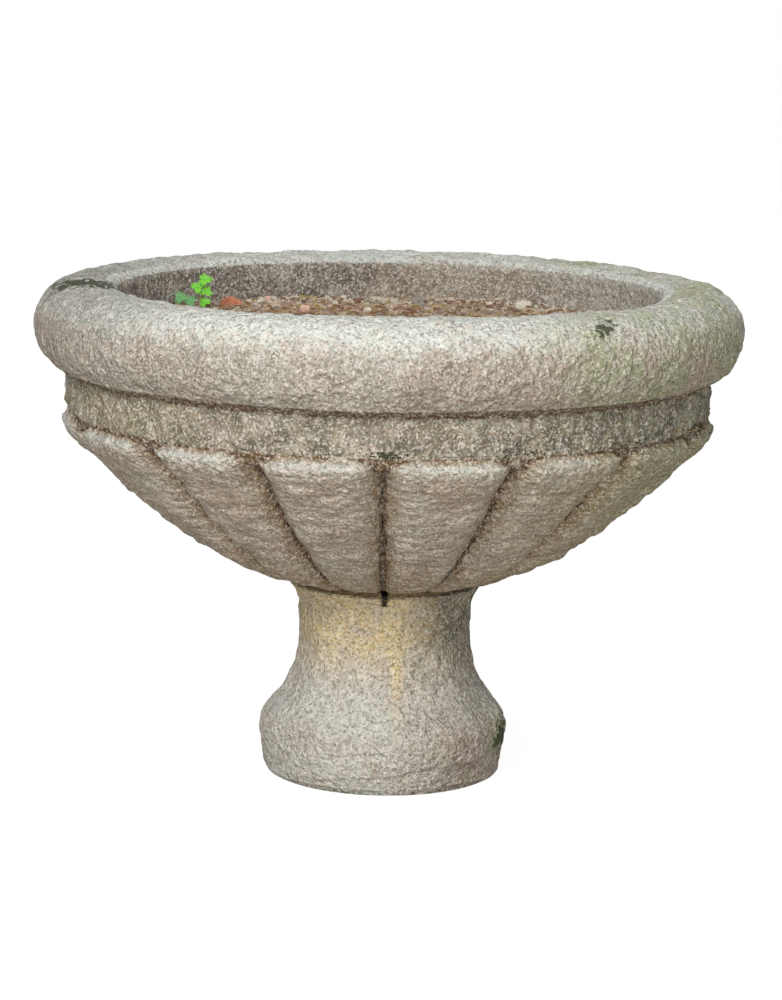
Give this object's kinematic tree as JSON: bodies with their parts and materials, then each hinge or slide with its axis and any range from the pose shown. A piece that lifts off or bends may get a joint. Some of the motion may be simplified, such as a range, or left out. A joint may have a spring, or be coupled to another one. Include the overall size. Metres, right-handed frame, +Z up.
{
  "type": "urn planter",
  "caption": "Free-standing weathered granite urn planter: gadrooned bowl with a rolled rim on a waisted pedestal foot, holding soil.",
  "frame": {"origin": "on the ground under the centre of the pedestal's foot", "axes": "+Z up, -Y towards the front, where the weep notch and one groove of the bowl lie, +X to the front's right"},
  "size_m": [0.85, 0.8498, 0.6],
  "materials": {
    "granite": "matte",
    "mortar": "matte",
    "gravel": "matte",
    "soil": "matte",
    "terracotta": "matte",
    "pebble": "matte",
    "leaf": "matte"
  },
  "bodies": {
    "root": {"bowl": "granite", "pedestal": "granite", "mortar_bed": "mortar", "drain_crock": "terracotta", "drainage_gravel": "gravel", "soil": "soil", "terracotta_shard": "terracotta", "pebble_pink": "pebble", "pebble_pale": "pebble", "pebble_grey": "pebble", "clover_tall": "leaf", "clover_low": "leaf"}
  },
  "joints": []
}
